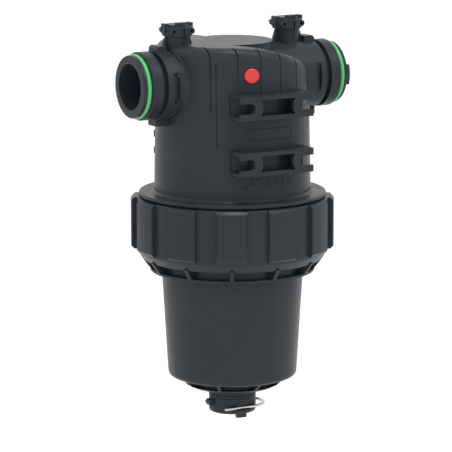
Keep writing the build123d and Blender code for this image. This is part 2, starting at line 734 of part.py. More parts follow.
def nut_rib():
    """One grip rib of the nut, bevelled at both ends."""
    outer = NUT_RADIUS + NUT_RIB_RISE
    bottom = nut_top - NUT_RIB_HEIGHT
    outline = [
        (NUT_RADIUS - NUT_RIB_ROOT, nut_top),
        (outer - NUT_RIB_CHAMFER, nut_top),
        (outer, nut_top - NUT_RIB_CHAMFER),
        (outer, bottom + NUT_RIB_CHAMFER),
        (outer - NUT_RIB_CHAMFER, bottom),
        (NUT_RADIUS - NUT_RIB_ROOT, bottom),
    ]
    face = make_face(Polyline(*outline, close=True))
    rib = revolve(Plane.XZ * face, Axis.Z, revolution_arc=NUT_RIB_ANGLE)
    uprights = rib.edges().filter_by(Axis.Z)
    corners = uprights.sort_by(lambda edge: math.hypot(edge.center().X, edge.center().Y))[-2:]
    return Rot(0, 0, -NUT_RIB_ANGLE / 2) * chamfer(corners, NUT_RIB_EDGE)


def build_ring_nut():
    """Ring nut: threaded ring with grip ribs, seat for the bowl's flange and a ribbed lower sleeve."""
    thread_bore = SKIRT_RADIUS + NUT_THREAD_CLEARANCE
    hole = bowl_radius_at(nut_seat) + NUT_BOWL_CLEARANCE
    sleeve = hole + NUT_SLEEVE_WALL
    outline = [
        (thread_bore, nut_top),
        (NUT_RADIUS, nut_top),
        (NUT_RADIUS, nut_seat - NUT_SHOULDER_DROP),
        (NUT_LIP_RADIUS, nut_lip),
        (sleeve, nut_lip),
        (sleeve, nut_foot_top),
        (NUT_FOOT_RADIUS, nut_foot_top),
        (NUT_FOOT_RADIUS, nut_bottom),
        (hole, nut_bottom),
        (hole, nut_seat),
        (thread_bore, nut_seat),
    ]
    nut = turned(outline, [(1, NUT_TOP_ROUND), (2, NUT_SHOULDER_ROUND), (7, NUT_FOOT_ROUND)])
    gusset = [
        (sleeve - OVERRUN, nut_lip + NUT_GUSSET_ROOT),
        (NUT_GUSSET_TOP_RADIUS, nut_lip + NUT_GUSSET_LAP),
        (NUT_FOOT_RADIUS + NUT_GUSSET_LAP, nut_foot_top),
        (NUT_FOOT_RADIUS, nut_foot_top - OVERRUN),
        (sleeve - OVERRUN, nut_foot_top - OVERRUN),
    ]
    for rib in around(nut_rib(), NUT_RIBS):
        nut += rib
    for plate in around(upright_plate(gusset, NUT_GUSSET_THICKNESS), NUT_RIBS):
        nut += plate
    return nut


def bowl_shell():
    """Flange, tapered wall, rounded corner and base rings of the bowl."""
    corner_radius = bowl_radius_at(bowl_bottom)
    outline = [
        (0, bowl_top),
        (BOWL_FLANGE_RADIUS, bowl_top),
        (BOWL_FLANGE_RADIUS, bowl_flange_bottom),
        (BOWL_MOUTH_RADIUS, bowl_flange_bottom),
        (corner_radius, bowl_bottom),
        (BASE_CORE_RADIUS, bowl_bottom),
        (BASE_CORE_RADIUS, base_ring_top),
        (BASE_RING_RADIUS, base_ring_top),
        (BASE_RING_FOOT_RADIUS, base_bottom),
        (DRAIN_RADIUS, base_bottom),
        (DRAIN_RADIUS, drain_bottom),
        (0, drain_bottom),
    ]
    return turned(outline, [(4, BOWL_CORNER_ROUND), (8, BASE_RING_ROUND), (10, DRAIN_EDGE_ROUND)])


def bowl_hollow():
    """Inside of the bowl and the drain's water way."""
    inner_top = bowl_radius_at(bowl_top) - BOWL_WALL
    inner_bottom = bowl_radius_at(bowl_floor) - BOWL_WALL
    outline = [
        (0, bowl_top + OVERRUN),
        (inner_top, bowl_top + OVERRUN),
        (inner_bottom, bowl_floor),
        (DRAIN_HOLE_RADIUS, bowl_floor),
        (DRAIN_HOLE_RADIUS, drain_bore_top),
        (DRAIN_BORE_RADIUS, drain_bore_top),
        (DRAIN_BORE_RADIUS, drain_bottom - OVERRUN),
        (0, drain_bottom - OVERRUN),
    ]
    return turned(outline, [(2, BOWL_CORNER_ROUND)])


def build_bowl():
    """The bowl moulding with base gussets and drain socket."""
    bowl = bowl_shell()
    gusset = [
        (BASE_CORE_RADIUS - OVERRUN, bowl_bottom + OVERRUN),
        (BASE_GUSSET_REACH, bowl_bottom + OVERRUN),
        (BASE_GUSSET_REACH, bowl_bottom),
        (BASE_RING_RADIUS, base_ring_top),
        (BASE_RING_RADIUS - OVERRUN, base_ring_top - OVERRUN),
        (BASE_CORE_RADIUS - OVERRUN, base_ring_top - OVERRUN),
    ]
    for plate in around(upright_plate(gusset, BASE_GUSSET_THICKNESS), BASE_GUSSETS):
        bowl += plate
    ear_top = drain_bottom + DRAIN_WINDOW_TOP + DRAIN_EAR_LIFT
    ear_y = (-DRAIN_EAR_WIDTH / 2, DRAIN_EAR_WIDTH / 2)
    ear_x = (-DRAIN_EAR_REACH, -DRAIN_BORE_RADIUS - OVERRUN)
    ear = block(ear_x, ear_y, (ear_top - DRAIN_EAR_HEIGHT, ear_top))
    bowl += fillet(ear.edges().filter_by(Axis.Y).group_by(Axis.X)[0], DRAIN_EAR_ROUND)
    bowl -= bowl_hollow()
    groove = turned(
        [
            (seal_inner, bowl_top - SEAL_HEIGHT + SEAL_GAP),
            (seal_outer, bowl_top - SEAL_HEIGHT + SEAL_GAP),
            (seal_outer, bowl_top + OVERRUN),
            (seal_inner, bowl_top + OVERRUN),
        ]
    )
    bowl -= groove
    for drop in DRAIN_RING_CUTS:
        low = base_bottom - drop
        cut = turned(
            [
                (DRAIN_RADIUS - DRAIN_RING_CUT_DEPTH, low),
                (DRAIN_RADIUS + OVERRUN, low),
                (DRAIN_RADIUS + OVERRUN, low + DRAIN_RING_CUT_WIDTH),
                (DRAIN_RADIUS - DRAIN_RING_CUT_DEPTH, low + DRAIN_RING_CUT_WIDTH),
            ]
        )
        bowl -= cut
    leg_half = DRAIN_FORK_WIRE / 2 + PLUG_CLEARANCE
    for face in (-1, 1):
        near = DRAIN_FORK_OFFSET - leg_half
        channel_y = sorted((face * near, face * (DRAIN_RADIUS + OVERRUN)))
        reach = DRAIN_RADIUS + OVERRUN
        channel_z = (drain_fork_height - leg_half, drain_fork_height + leg_half)
        bowl -= block((-reach, reach), channel_y, channel_z)
        window_z = (drain_fork_height - leg_half, drain_bottom + DRAIN_WINDOW_TOP)
        bowl -= block((-DRAIN_WINDOW_HALF, DRAIN_WINDOW_HALF), channel_y, window_z)
    return bowl


def build_bowl_seal():
    """Flat ring between the head's skirt and the bowl's flange."""
    inner = seal_inner + SEAL_SIDE_GAP
    outer = seal_outer - SEAL_SIDE_GAP
    low = bowl_top - SEAL_HEIGHT + SEAL_GAP
    high = skirt_bottom - SEAL_TOP_EASE
    return turned([(inner, low), (outer, low), (outer, high), (inner, high)])


def build_drain_plug():
    """Plug of the drain: seal groove, fork groove and key tab below."""
    radius = DRAIN_BORE_RADIUS - PLUG_CLEARANCE
    top = drain_bore_top - DRAIN_PLUG_GAP
    groove_floor = DRAIN_FORK_OFFSET - DRAIN_FORK_WIRE / 2 - PLUG_GROOVE_SPARE
    groove_half = DRAIN_FORK_WIRE / 2 + PLUG_GROOVE_SPARE
    ring_floor = DRAIN_BORE_RADIUS - RING_SECTION
    ring_low = drain_bottom + DRAIN_WINDOW_TOP + DRAIN_SEAL_RISE
    ring_high = ring_low + RING_SECTION
    outline = [
        (0, drain_bottom),
        (radius, drain_bottom),
        (radius, drain_fork_height - groove_half),
        (groove_floor, drain_fork_height - groove_half),
        (groove_floor, drain_fork_height + groove_half),
        (radius, drain_fork_height + groove_half),
        (radius, ring_low),
        (ring_floor, ring_low),
        (ring_floor, ring_high),
        (radius, ring_high),
        (radius, top - DRAIN_PLUG_CHAMFER),
        (radius - DRAIN_PLUG_CHAMFER, top),
        (0, top),
    ]
    plug = turned(outline)
    tab = key_tab(radius, drain_bottom - DRAIN_TAB_RISE, drain_bottom + OVERRUN)
    return plug + tab


def build_drain_seal():
    """O-ring of the drain plug."""
    minor = RING_SECTION / 2 - DRAIN_SEAL_EASE
    major = DRAIN_BORE_RADIUS - minor - PLUG_RING_EASE
    height = drain_bottom + DRAIN_WINDOW_TOP + DRAIN_SEAL_RISE + RING_SECTION / 2
    return Pos(0, 0, height) * Torus(major, minor)


# Heights inside the cartridge
top_cap_high = seat_height - GASKET_THICKNESS
top_cap_low = top_cap_high - CAP_HEIGHT
bottom_cap_low = bowl_floor + GASKET_THICKNESS
bottom_cap_high = bottom_cap_low + CAP_HEIGHT


def build_cartridge_frame():
    """Cage of the cartridge: hoops and columns round a hollow core."""
    inner = CARTRIDGE_RADIUS - CARTRIDGE_WALL
    low = bottom_cap_high - CAP_LIP
    high = top_cap_low + CAP_LIP
    cage = disc(CARTRIDGE_RADIUS, low, high) - disc(inner, low - OVERRUN, high + OVERRUN)
    pitch = (high - low - CARTRIDGE_HOOP_HEIGHT) / CARTRIDGE_ROWS
    half = CARTRIDGE_RADIUS * math.sin(math.pi / CARTRIDGE_COLUMNS) - CARTRIDGE_COLUMN_WIDTH / 2
    for row in range(CARTRIDGE_ROWS):
        base = low + CARTRIDGE_HOOP_HEIGHT + row * pitch
        window_z = (base, base + pitch - CARTRIDGE_HOOP_HEIGHT)
        window = block((0, CARTRIDGE_RADIUS + OVERRUN), (-half, half), window_z)
        for cut in around(window, CARTRIDGE_COLUMNS, 180 / CARTRIDGE_COLUMNS):
            cage -= cut
    return cage


def build_cartridge_mesh():
    """Mesh sleeve round the cage."""
    low = bottom_cap_high - CAP_LIP + MESH_CLEARANCE
    high = top_cap_low + CAP_LIP - MESH_CLEARANCE
    outer = mesh_inner_radius + MESH_THICKNESS
    return disc(outer, low, high) - disc(mesh_inner_radius, low - OVERRUN, high + OVERRUN)


def cap_rim(low, high, mouth_low, mouth_high):
    """Cap body with an annular mouth that takes the cage and the mesh."""
    body = disc(CAP_RADIUS, low, high)
    body = chamfer(body.edges().filter_by(GeomType.CIRCLE), CAP_CHAMFER)
    outer = mesh_inner_radius + MESH_THICKNESS + MESH_CLEARANCE
    inner = CARTRIDGE_RADIUS - CARTRIDGE_WALL - MESH_CLEARANCE
    core = disc(inner, mouth_low - OVERRUN, mouth_high + OVERRUN)
    return body - (disc(outer, mouth_low, mouth_high) - core)


def build_cartridge_top_cap():
    """Top cap: open in the middle, with a collar that guides it on the seat neck."""
    cap = cap_rim(top_cap_low, top_cap_high, top_cap_low - OVERRUN, top_cap_low + CAP_LIP)
    collar_inner = SEAT_BORE_RADIUS + ELBOW_WALL + CAP_COLLAR_CLEARANCE
    collar_outer = collar_inner + CAP_COLLAR_WALL
    collar_top = seat_height + CAP_COLLAR_HEIGHT
    collar = disc(collar_outer, top_cap_high - OVERRUN, collar_top)
    cap += collar - disc(collar_inner, top_cap_high - 2 * OVERRUN, collar_top + OVERRUN)
    return cap - disc(SEAT_BORE_RADIUS, top_cap_low - OVERRUN, collar_top + OVERRUN)


def build_cartridge_bottom_cap():
    """Bottom cap: closed disc that stands on the bowl's floor."""
    return cap_rim(bottom_cap_low, bottom_cap_high, bottom_cap_high - CAP_LIP, bottom_cap_high + OVERRUN)


def build_gasket(inner, low):
    """Flat round gasket."""
    outer = inner + GASKET_WIDTH
    high = low + GASKET_THICKNESS
    return disc(outer, low, high) - disc(inner, low - OVERRUN, high + OVERRUN)


NODES = {
    "head_body": build_head,
    "head_skirt": build_skirt,
    "outlet_elbow": build_elbow,
    "inlet_port": lambda: build_port(-1),
    "outlet_port": lambda: build_port(1),
    "front_upper_bracket": lambda: build_bracket(BRACKET_DROPS[0], 0),
    "front_lower_bracket": lambda: build_bracket(BRACKET_DROPS[1], 0),
    "rear_upper_bracket": lambda: build_bracket(BRACKET_DROPS[0], 180),
    "rear_lower_bracket": lambda: build_bracket(BRACKET_DROPS[1], 180),
    "inlet_o_ring": lambda: build_port_ring(-1),
    "outlet_o_ring": lambda: build_port_ring(1),
    "mesh_indicator": build_indicator,
    "inlet_gauge_plug": lambda: build_gauge_plug(-1),
    "outlet_gauge_plug": lambda: build_gauge_plug(1),
    "inlet_gauge_seal": lambda: build_gauge_seal(-1),
    "outlet_gauge_seal": lambda: build_gauge_seal(1),
    "inlet_gauge_fork": lambda: build_gauge_fork(-1),
    "outlet_gauge_fork": lambda: build_gauge_fork(1),
    "ring_nut": build_ring_nut,
    "bowl": build_bowl,
    "bowl_seal": build_bowl_seal,
    "drain_plug": build_drain_plug,
    "drain_seal": build_drain_seal,
    "drain_fork": build_drain_fork,
    "cartridge_frame": build_cartridge_frame,
    "cartridge_mesh": build_cartridge_mesh,
    "cartridge_top_cap": build_cartridge_top_cap,
    "cartridge_bottom_cap": build_cartridge_bottom_cap,
    "top_gasket": lambda: build_gasket(SEAT_BORE_RADIUS, top_cap_high),
    "bottom_gasket": lambda: build_gasket(BOTTOM_GASKET_RADIUS, bowl_floor),
}

os.makedirs("parts", exist_ok=True)
for name, build in NODES.items():
    export_step(build(), f"parts/{name}.step")
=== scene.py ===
import math

import bmesh
import bpy
from bpy.props import FloatProperty, FloatVectorProperty, IntProperty, PointerProperty
from bpy.types import Operator, Panel, PropertyGroup
from mathutils import Matrix, Vector


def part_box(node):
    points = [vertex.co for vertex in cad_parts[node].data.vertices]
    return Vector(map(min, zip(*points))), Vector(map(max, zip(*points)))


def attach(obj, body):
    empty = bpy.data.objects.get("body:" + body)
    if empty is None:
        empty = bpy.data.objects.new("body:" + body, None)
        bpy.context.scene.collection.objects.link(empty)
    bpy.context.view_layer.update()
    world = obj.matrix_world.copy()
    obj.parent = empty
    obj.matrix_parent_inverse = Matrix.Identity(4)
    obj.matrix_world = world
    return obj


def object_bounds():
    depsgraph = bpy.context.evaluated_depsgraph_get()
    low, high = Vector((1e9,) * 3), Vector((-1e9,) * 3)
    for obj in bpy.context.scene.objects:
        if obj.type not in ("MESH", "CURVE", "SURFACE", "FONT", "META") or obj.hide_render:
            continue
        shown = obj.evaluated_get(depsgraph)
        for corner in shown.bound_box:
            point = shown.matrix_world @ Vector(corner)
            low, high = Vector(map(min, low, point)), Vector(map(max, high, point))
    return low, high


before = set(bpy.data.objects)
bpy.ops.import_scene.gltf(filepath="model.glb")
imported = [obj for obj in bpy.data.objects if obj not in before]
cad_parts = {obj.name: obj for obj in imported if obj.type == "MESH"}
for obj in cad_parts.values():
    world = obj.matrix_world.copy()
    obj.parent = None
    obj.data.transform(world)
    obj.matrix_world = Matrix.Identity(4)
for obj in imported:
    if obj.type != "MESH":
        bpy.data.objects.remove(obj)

bl_info = {
    "name": "Inline Strainer Dresser",
    "version": (1, 0, 0),
    "blender": (4, 5, 0),
    "location": "3D View > Sidebar > Strainer",
    "description": "Finishes, moulded marks, threads and studio for the inline strainer",
    "category": "Object",
}

CAD_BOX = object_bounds()
HEAD_NODES = (
    "head_body", "head_skirt", "outlet_elbow", "inlet_port", "outlet_port", "front_upper_bracket",
    "front_lower_bracket", "rear_upper_bracket", "rear_lower_bracket",
)
MOULDED_NODES = HEAD_NODES + ("ring_nut", "bowl", "drain_plug", "inlet_gauge_plug", "outlet_gauge_plug")
SEAL_NODES = (
    "bowl_seal", "drain_seal", "inlet_gauge_seal", "outlet_gauge_seal", "top_gasket", "bottom_gasket",
)
FORK_NODES = ("drain_fork", "inlet_gauge_fork", "outlet_gauge_fork")
CAGE_NODES = ("cartridge_frame", "cartridge_top_cap", "cartridge_bottom_cap")

# Shades of wear, and the mesh's weave: waves in one turn, and radians of wave in one metre up
EDGE_LIFT = 0.03
DUST_COLOUR = (0.16, 0.155, 0.15, 1.0)
BLOOM_COLOUR = (0.35, 0.36, 0.34, 1.0)
WIRES_ROUND = 400.0
WIRES_UP = 8000.0

# Fineness of the moulded lines, beads, posts and threads, lengths in metres
PROBE_START = 0.2
LINE_SINK = 0.0004
LINE_STEP = 0.0015
FRAME_STEP = 0.002
CORNER_STEPS = 6
BEAD_STATIONS = 180
BEAD_CORNERS = 10
BEVEL_SHARE = 0.2
TURN_STATIONS = 96
RUN_OUT_STATIONS = 10
LEAST_RISE = 0.02

# Flow marks in metres: places are along the wall and up from the marks' middle
ARROW_TAIL = (-0.033, -0.0049)
ARROW_TIP = (-0.015, 0.0041)
ARROW_HEAD_LENGTH = 0.0062
ARROW_HEAD_HALF = 0.0031
ARROW_POINT_HALF = 0.00035
FIRST_CHEVRON = -0.0065
CHEVRON_STEP = 0.0092
CHEVRON_REACH = 0.0046
CHEVRON_HALF = 0.0037

# Threads in metres: how deep a ridge is rooted, and its ends below the nut's top
THREAD_SINK = 0.0003
SKIRT_THREAD_FOOT = 0.046
SKIRT_THREAD_HEAD = 0.004
NUT_THREAD_FOOT = 0.036
NUT_THREAD_HEAD = 0.006

# Square lamps: name, place and width in metres, and the setting that holds the power
SOFTBOXES = (
    ("key_softbox", (0.9, -1.4, 2.4), 1.6, "key_power"),
    ("fill_softbox", (-2.2, -1.0, 0.5), 1.8, "fill_power"),
    ("top_softbox", (-0.20, -0.42, 2.6), 0.6, "top_power"),
)

# Camera: sensor in millimetres, far clip in metres, the photo's width and its axis's offset in pixels
SENSOR_WIDTH = 36.0
CLIP_END = 100.0
PHOTO_PIXELS = 452
AXIS_SHIFT_PIXELS = -6.35


class FinishSettings(PropertyGroup):
    """Colours and surface of the plastics, rubbers and metals."""

    charcoal: FloatVectorProperty(
        name="Charcoal", description="Colour of the head, nut and bowl", subtype="COLOR",
        size=3, min=0, max=1, default=(0.0305, 0.0378, 0.0446))
    charcoal_gloss: FloatProperty(
        name="Charcoal roughness", description="Roughness of the moulded plastic", min=0, max=1, default=0.30)
    charcoal_shine: FloatProperty(
        name="Charcoal shine", description="Strength of the reflections on the charcoal plastic",
        min=0, max=1, default=0.21)
    grain: FloatProperty(
        name="Grain", description="Width of one grain of the mould's texture", subtype="DISTANCE",
        unit="LENGTH", default=0.0007)
    ring_green: FloatVectorProperty(
        name="Ring green", description="Colour of the port rings", subtype="COLOR",
        size=3, min=0, max=1, default=(0.105, 0.58, 0.165))
    button_red: FloatVectorProperty(
        name="Button red", description="Colour of the mesh indicator and the cartridge", subtype="COLOR",
        size=3, min=0, max=1, default=(1.0, 0.052, 0.052))
    seal_black: FloatVectorProperty(
        name="Seal black", description="Colour of the hidden seals", subtype="COLOR",
        size=3, min=0, max=1, default=(0.012, 0.012, 0.013))
    wire_steel: FloatVectorProperty(
        name="Wire steel", description="Colour of the forks", subtype="COLOR",
        size=3, min=0, max=1, default=(0.78, 0.78, 0.77))
    edge_softness: FloatProperty(
        name="Edge softness", description="Radius at which sharp moulded edges catch the light",
        subtype="DISTANCE", unit="LENGTH", default=0.0006)


class MarkSettings(PropertyGroup):
    """Sizes of the marks moulded on the front of the head."""

    panel_width: FloatProperty(
        name="Panel width", description="Width of the blank panel", subtype="DISTANCE", unit="LENGTH",
        default=0.054)
    panel_height: FloatProperty(
        name="Panel height", description="Height of the blank panel", subtype="DISTANCE", unit="LENGTH",
        default=0.0115)
    panel_corner: FloatProperty(
        name="Panel corner", description="Radius of the panel's corners", subtype="DISTANCE", unit="LENGTH",
        default=0.0022)
    panel_level: FloatProperty(
        name="Panel level", description="Height of the panel's middle", subtype="DISTANCE", unit="LENGTH",
        default=-0.0490)
    arrow_level: FloatProperty(
        name="Arrow level", description="Height of the flow marks' middle", subtype="DISTANCE", unit="LENGTH",
        default=-0.1018)
    chevrons: IntProperty(name="Chevrons", description="Number of chevrons after the arrow", min=0, default=4)
    line_width: FloatProperty(
        name="Line width", description="Width of a raised line", subtype="DISTANCE", unit="LENGTH",
        default=0.0011)
    rise: FloatProperty(
        name="Rise", description="How far the marks stand out of the wall", subtype="DISTANCE", unit="LENGTH",
        default=0.0006)


class CollarSettings(PropertyGroup):
    """Fine moulded forms of the ports and brackets."""

    bead_radius: FloatProperty(
        name="Bead reach", description="Distance of the root bead from the port's axis", subtype="DISTANCE",
        unit="LENGTH", default=0.0385)
    bead_size: FloatProperty(
        name="Bead size", description="Radius of the bead's own section", subtype="DISTANCE", unit="LENGTH",
        default=0.0012)
    post_offset: FloatProperty(
        name="Post offset", description="Distance of the pocket posts' middle from the vertical axis",
        subtype="DISTANCE", unit="LENGTH", default=0.0868)
    post_height: FloatProperty(
        name="Post height", description="Distance of the posts' middle from the port's axis, up and down",
        subtype="DISTANCE", unit="LENGTH", default=0.0138)
    post_size: FloatProperty(
        name="Post size", description="Width of a post", subtype="DISTANCE", unit="LENGTH", default=0.0036)
    post_reach: FloatProperty(
        name="Post reach", description="How far the posts stand out from the port's axis", subtype="DISTANCE",
        unit="LENGTH", default=0.0366)
    kerb_size: FloatProperty(
        name="Kerb size", description="Width and rise of the kerb at the open ends of a bracket",
        subtype="DISTANCE", unit="LENGTH", default=0.0017)


class ThreadSettings(PropertyGroup):
    """The screw thread between the head's skirt and the ring nut."""

    lead: FloatProperty(
        name="Lead", description="How far the nut moves in one turn", subtype="DISTANCE", unit="LENGTH",
        default=0.010)
    starts: IntProperty(name="Starts", description="Number of separate ridges", min=1, max=4, default=2)
    skirt_radius: FloatProperty(
        name="Skirt radius", description="Radius of the head's plain skirt", subtype="DISTANCE",
        unit="LENGTH", default=0.0926)
    nut_radius: FloatProperty(
        name="Nut radius", description="Radius of the nut's plain bore", subtype="DISTANCE", unit="LENGTH",
        default=0.0948)
    ridge_height: FloatProperty(
        name="Ridge height", description="How far a ridge stands out", subtype="DISTANCE", unit="LENGTH",
        default=0.0017)
    ridge_width: FloatProperty(
        name="Ridge width", description="Width of a ridge at its foot", subtype="DISTANCE", unit="LENGTH",
        default=0.0025)


class StudioSettings(PropertyGroup):
    """Floor, lights and camera."""

    floor_drop: FloatProperty(
        name="Floor drop", description="Room between the strainer and the floor", subtype="DISTANCE",
        unit="LENGTH", default=0.13)
    floor_size: FloatProperty(
        name="Floor size", description="Width of the floor", subtype="DISTANCE", unit="LENGTH", default=60.0)
    floor_glow: FloatProperty(
        name="Floor glow", description="White added to the floor where the camera sees it", min=0, max=1,
        default=0.30)
    floor_colour: FloatVectorProperty(
        name="Floor colour", description="Colour of the pale floor", subtype="COLOR",
        size=3, min=0, max=1, default=(0.9, 0.9, 0.9))
    sky_level: FloatProperty(
        name="Sky level", description="Strength of the white surroundings on matt surfaces", min=0, max=1,
        default=0.80)
    key_power: FloatProperty(
        name="Key power", description="Power of the large soft lamp in watts", default=14.0)
    fill_power: FloatProperty(
        name="Fill power", description="Power of the lamp at the left in watts", default=0.70)
    top_power: FloatProperty(
        name="Top power", description="Power of the small lamp overhead that lights the edges, in watts",
        default=14.0)
    camera_turn: FloatProperty(
        name="Camera turn", description="Angle of the camera from the front, towards the inlet",
        subtype="ANGLE", unit="ROTATION", default=math.radians(29.815))
    camera_rise: FloatProperty(
        name="Camera rise", description="Angle of the camera above the level", subtype="ANGLE",
        unit="ROTATION", default=math.radians(10.404))
    camera_reach: FloatProperty(
        name="Camera reach", description="Distance of the camera", subtype="DISTANCE", unit="LENGTH",
        default=3.8)
    camera_level: FloatProperty(
        name="Camera level", description="Height of the point that the camera looks at", subtype="DISTANCE",
        unit="LENGTH", default=-0.16253)
    lens: FloatProperty(
        name="Lens", description="Focal length in millimetres", subtype="DISTANCE_CAMERA", default=276.2)


def node_group(name, inputs, outputs):
    """New shader group with float, colour or vector sockets."""
    group = bpy.data.node_groups.new(name, "ShaderNodeTree")
    for label, kind, default in inputs:
        socket = group.interface.new_socket(name=label, in_out="INPUT", socket_type=kind)
        socket.default_value = default
    for label, kind in outputs:
        group.interface.new_socket(name=label, in_out="OUTPUT", socket_type=kind)
    entry = group.nodes.new("NodeGroupInput")
    leave = group.nodes.new("NodeGroupOutput")
    return group, entry, leave


def feed(tree, node, inputs):
    """Sets a node's inputs, by name or number, from plain values or links."""
    for label, value in inputs.items():
        if isinstance(value, bpy.types.NodeSocket):
            tree.links.new(value, node.inputs[label])
        else:
            node.inputs[label].default_value = value


def add(tree, kind, inputs=None, **settings):
    """New node with its properties and inputs set."""
    node = tree.nodes.new(kind)
    for key, value in settings.items():
        setattr(node, key, value)
    feed(tree, node, inputs or {})
    return node


def math_of(tree, operation, first, second=0.0, clamp=False):
    """Math node of links or numbers; gives its output."""
    return add(tree, "ShaderNodeMath", {0: first, 1: second}, operation=operation, use_clamp=clamp).outputs[0]


def remap(tree, value, low, high, to_low=0.0, to_high=1.0):
    """A link brought from one range to another; gives its output."""
    inputs = {0: value, 1: low, 2: high, 3: to_low, 4: to_high}
    return add(tree, "ShaderNodeMapRange", inputs).outputs[0]


def object_place(tree):
    """Place on the object, in metres."""
    return add(tree, "ShaderNodeTexCoord").outputs["Object"]


def noise(tree, place, scale, detail, roughness=0.5):
    """Noise over a place; gives its value."""
    inputs = {"Vector": place, "Scale": scale, "Detail": detail, "Roughness": roughness}
    return add(tree, "ShaderNodeTexNoise", inputs).outputs[0]


def mixed(tree, first, second, amount):
    """Colour mix of two colours or links by a link."""
    node = add(tree, "ShaderNodeMix", {"Factor": amount}, data_type="RGBA")
    for label, value in (("A", first), ("B", second)):
        socket = next(s for s in node.inputs if s.name == label and s.type == "RGBA")
        if isinstance(value, bpy.types.NodeSocket):
            tree.links.new(value, socket)
        else:
            socket.default_value = value
    return next(s for s in node.outputs if s.type == "RGBA")


def scaled(colour, factor):
    """Colour times a factor, with full alpha."""
    return tuple(min(1.0, c * factor) for c in colour) + (1.0,)


def moulded_skin_group():
    """Spark-eroded grain, flow mottling and fine rub marks of moulded plastic."""
    group, entry, leave = node_group(
        "moulded_skin",
        [("Grain", "NodeSocketFloat", 1400.0), ("Flow", "NodeSocketFloat", 22.0)],
        [("Height", "NodeSocketFloat"), ("Tone", "NodeSocketFloat"), ("Rub", "NodeSocketFloat")],
    )
    place = object_place(group)
    grain = noise(group, place, entry.outputs["Grain"], detail=3.0, roughness=0.62)
    pit_scale = math_of(group, "MULTIPLY", entry.outputs["Grain"], 0.55)
    pits = add(group, "ShaderNodeTexVoronoi", {"Vector": place, "Scale": pit_scale})
    pit_depth = math_of(group, "MULTIPLY", pits.outputs["Distance"], 0.35)
    stretch = add(group, "ShaderNodeMapping", {"Vector": place, "Scale": (1.0, 1.0, 0.12)})
    rub = noise(group, stretch.outputs[0], scale=260.0, detail=2.0)
    feed(group, leave, {
        "Height": math_of(group, "ADD", grain, pit_depth),
        "Tone": noise(group, place, entry.outputs["Flow"], detail=4.0, roughness=0.55),
        "Rub": remap(group, rub, low=0.55, high=0.78),
    })
    return group


def edge_catch_group():
    """Rounded normal of sharp edges, and a mask of where the edges are worn bright."""
    group, entry, leave = node_group(
        "edge_catch",
        [("Radius", "NodeSocketFloat", 0.0006), ("Break", "NodeSocketFloat", 180.0)],
        [("Normal", "NodeSocketVector"), ("Edge", "NodeSocketFloat")],
    )
    bevel = add(group, "ShaderNodeBevel", {"Radius": entry.outputs["Radius"]}, samples=4)
    flat = add(group, "ShaderNodeNewGeometry").outputs["Normal"]
    turn = add(group, "ShaderNodeVectorMath", {0: bevel.outputs[0], 1: flat}, operation="DOT_PRODUCT")
    sharp = remap(group, turn.outputs["Value"], low=0.99, high=0.80)
    patches = noise(group, object_place(group), entry.outputs["Break"], detail=3.0)
    broken = remap(group, patches, low=0.40, high=0.65)
    feed(group, leave, {"Normal": bevel.outputs[0], "Edge": math_of(group, "MULTIPLY", sharp, broken, True)})
    return group


def settled_dust_group():
    """Faint dust on faces that look up."""
    group, entry, leave = node_group(
        "settled_dust", [("Amount", "NodeSocketFloat", 0.3)], [("Dust", "NodeSocketFloat")])
    normal = add(group, "ShaderNodeNewGeometry").outputs["Normal"]
    upward = add(group, "ShaderNodeSeparateXYZ", {0: normal}).outputs["Z"]
    specks = noise(group, object_place(group), scale=340.0, detail=5.0, roughness=0.7)
    facing = remap(group, upward, low=0.55, high=1.0)
    spread = math_of(group, "MULTIPLY", facing, remap(group, specks, low=0.42, high=0.72))
    feed(group, leave, {"Dust": math_of(group, "MULTIPLY", spread, entry.outputs["Amount"], True)})
    return group


def place_group(tree, name, make, **values):
    """Group node of a shared effect with its own values; the effect is made on first use."""
    node = tree.nodes.new("ShaderNodeGroup")
    node.node_tree = bpy.data.node_groups.get(name) or make()
    feed(tree, node, values)
    return node


def blank_material(name):
    """Material with a lone Principled BSDF."""
    material = bpy.data.materials.new(name)
    material.use_nodes = True
    return material, material.node_tree, material.node_tree.nodes["Principled BSDF"]


def relief(tree, strength, depth, height, normal=None):
    """Bump of a height, over the surface's own normal or a given one."""
    bump = add(tree, "ShaderNodeBump", {"Strength": strength, "Distance": depth, "Height": height})
    if normal:
        tree.links.new(normal, bump.inputs["Normal"])
    return bump.outputs[0]


def moulded_plastic(name, colour, roughness, grain, softness, depth=0.00006, dust=0.06, shine=0.5):
    """Moulded plastic: mottled colour, grained skin, edges that catch the light and a little dust."""
    material, tree, surface = blank_material(name)
    skin = place_group(tree, "moulded_skin", moulded_skin_group, Grain=1.0 / grain, Flow=22.0)
    edge = place_group(tree, "edge_catch", edge_catch_group, Radius=softness, Break=180.0)
    film = place_group(tree, "settled_dust", settled_dust_group, Amount=dust)
    tone = mixed(tree, scaled(colour, 0.82), scaled(colour, 1.18), skin.outputs["Tone"])
    bright = tuple(c + EDGE_LIFT for c in colour) + (1.0,)
    worn = mixed(tree, tone, bright, edge.outputs["Edge"])
    rough = remap(
        tree, skin.outputs["Tone"], low=0.2, high=0.8, to_low=roughness - 0.05, to_high=roughness + 0.06)
    rubbed = math_of(tree, "SUBTRACT", rough, math_of(tree, "MULTIPLY", skin.outputs["Rub"], 0.012))
    feed(tree, surface, {
        "Base Color": mixed(tree, worn, DUST_COLOUR, film.outputs["Dust"]),
        "Roughness": math_of(tree, "ADD", rubbed, math_of(tree, "MULTIPLY", film.outputs["Dust"], 0.25)),
        "Specular IOR Level": shine,
        "Normal": relief(tree, 0.35, depth, skin.outputs["Height"], edge.outputs["Normal"]),
    })
    return material


